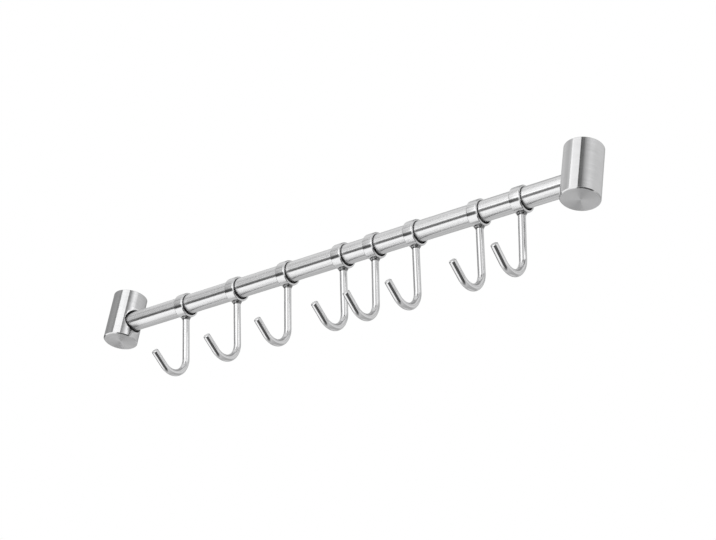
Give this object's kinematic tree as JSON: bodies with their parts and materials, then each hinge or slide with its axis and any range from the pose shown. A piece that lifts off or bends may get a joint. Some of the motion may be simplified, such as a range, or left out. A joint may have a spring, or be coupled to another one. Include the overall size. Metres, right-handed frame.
{
  "type": "kitchen utensil rail",
  "caption": "Round steel rail tube between turned cylindrical end posts, with sliding, swinging wire hooks on loose rings for hanging kitchen utensils.",
  "frame": {"origin": "on the mounting plane, midway between the screw holes of the two posts", "axes": "+Z out of the mounting plane into the shelf or wall, so that the posts hang along -Z; +X along the rail; the hooks open to the front, -Y"},
  "size_m": [0.489, 0.0424, 0.0926],
  "materials": {
    "rail_steel": "satin stainless steel",
    "post_steel": "turned stainless steel",
    "ring_steel": "polished stainless steel",
    "wire_steel": "polished stainless steel",
    "disc_steel": "zinc plated steel",
    "screw_steel": "plain steel"
  },
  "bodies": {
    "rail_and_posts": {"rail_tube": "rail_steel", "left_post": "post_steel", "left_mounting_disc": "disc_steel", "left_lock_screw": "screw_steel", "left_clamp_screw": "screw_steel", "right_post": "post_steel", "right_mounting_disc": "disc_steel", "right_lock_screw": "screw_steel", "right_clamp_screw": "screw_steel"},
    "hook_1_slider": {"hook_1_ring": "ring_steel"},
    "hook_1_swinger": {"hook_1_wire": "wire_steel"},
    "hook_2_slider": {"hook_2_ring": "ring_steel"},
    "hook_2_swinger": {"hook_2_wire": "wire_steel"},
    "hook_3_slider": {"hook_3_ring": "ring_steel"},
    "hook_3_swinger": {"hook_3_wire": "wire_steel"},
    "hook_4_slider": {"hook_4_ring": "ring_steel"},
    "hook_4_swinger": {"hook_4_wire": "wire_steel"},
    "hook_5_slider": {"hook_5_ring": "ring_steel"},
    "hook_5_swinger": {"hook_5_wire": "wire_steel"},
    "hook_6_slider": {"hook_6_ring": "ring_steel"},
    "hook_6_swinger": {"hook_6_wire": "wire_steel"},
    "hook_7_slider": {"hook_7_ring": "ring_steel"},
    "hook_7_swinger": {"hook_7_wire": "wire_steel"},
    "hook_8_slider": {"hook_8_ring": "ring_steel"},
    "hook_8_swinger": {"hook_8_wire": "wire_steel"}
  },
  "joints": [
    {"name": "hook_1_slide", "type": "slide", "parent": "rail_and_posts", "child": "hook_1_slider", "axis": [1, 0, 0], "range_m": [-0.055, 0.048]},
    {"name": "hook_1_swing", "type": "hinge", "parent": "hook_1_slider", "child": "hook_1_swinger", "pos_m": [-0.155, 0, -0.0274], "axis": [1, 0, 0], "range_deg": [-88.8, 96.2]},
    {"name": "hook_2_slide", "type": "slide", "parent": "rail_and_posts", "child": "hook_2_slider", "axis": [1, 0, 0], "range_m": [-0.048, 0.045]},
    {"name": "hook_2_swing", "type": "hinge", "parent": "hook_2_slider", "child": "hook_2_swinger", "pos_m": [-0.097, 0, -0.0274], "axis": [1, 0, 0], "range_deg": [-88.8, 96.2]},
    {"name": "hook_3_slide", "type": "slide", "parent": "rail_and_posts", "child": "hook_3_slider", "axis": [1, 0, 0], "range_m": [-0.045, 0.047]},
    {"name": "hook_3_swing", "type": "hinge", "parent": "hook_3_slider", "child": "hook_3_swinger", "pos_m": [-0.042, 0, -0.0274], "axis": [1, 0, 0], "range_deg": [-87.5, 97.5]},
    {"name": "hook_4_slide", "type": "slide", "parent": "rail_and_posts", "child": "hook_4_slider", "axis": [1, 0, 0], "range_m": [-0.047, 0.0215]},
    {"name": "hook_4_swing", "type": "hinge", "parent": "hook_4_slider", "child": "hook_4_swinger", "pos_m": [0.015, 0, -0.0274], "axis": [1, 0, 0], "range_deg": [-88.4, 96.6]},
    {"name": "hook_5_slide", "type": "slide", "parent": "rail_and_posts", "child": "hook_5_slider", "axis": [1, 0, 0], "range_m": [-0.0215, 0.0285]},
    {"name": "hook_5_swing", "type": "hinge", "parent": "hook_5_slider", "child": "hook_5_swinger", "pos_m": [0.0465, 0, -0.0274], "axis": [1, 0, 0], "range_deg": [-87.2, 97.8]},
    {"name": "hook_6_slide", "type": "slide", "parent": "rail_and_posts", "child": "hook_6_slider", "axis": [1, 0, 0], "range_m": [-0.0285, 0.048]},
    {"name": "hook_6_swing", "type": "hinge", "parent": "hook_6_slider", "child": "hook_6_swinger", "pos_m": [0.085, 0, -0.0274], "axis": [1, 0, 0], "range_deg": [-88.4, 96.6]},
    {"name": "hook_7_slide", "type": "slide", "parent": "rail_and_posts", "child": "hook_7_slider", "axis": [1, 0, 0], "range_m": [-0.048, 0.027]},
    {"name": "hook_7_swing", "type": "hinge", "parent": "hook_7_slider", "child": "hook_7_swinger", "pos_m": [0.143, 0, -0.0274], "axis": [1, 0, 0], "range_deg": [-87.5, 97.5]},
    {"name": "hook_8_slide", "type": "slide", "parent": "rail_and_posts", "child": "hook_8_slider", "axis": [1, 0, 0], "range_m": [-0.027, 0.03]},
    {"name": "hook_8_swing", "type": "hinge", "parent": "hook_8_slider", "child": "hook_8_swinger", "pos_m": [0.18, 0, -0.0274], "axis": [1, 0, 0], "range_deg": [-84.6, 100.4]}
  ]
}
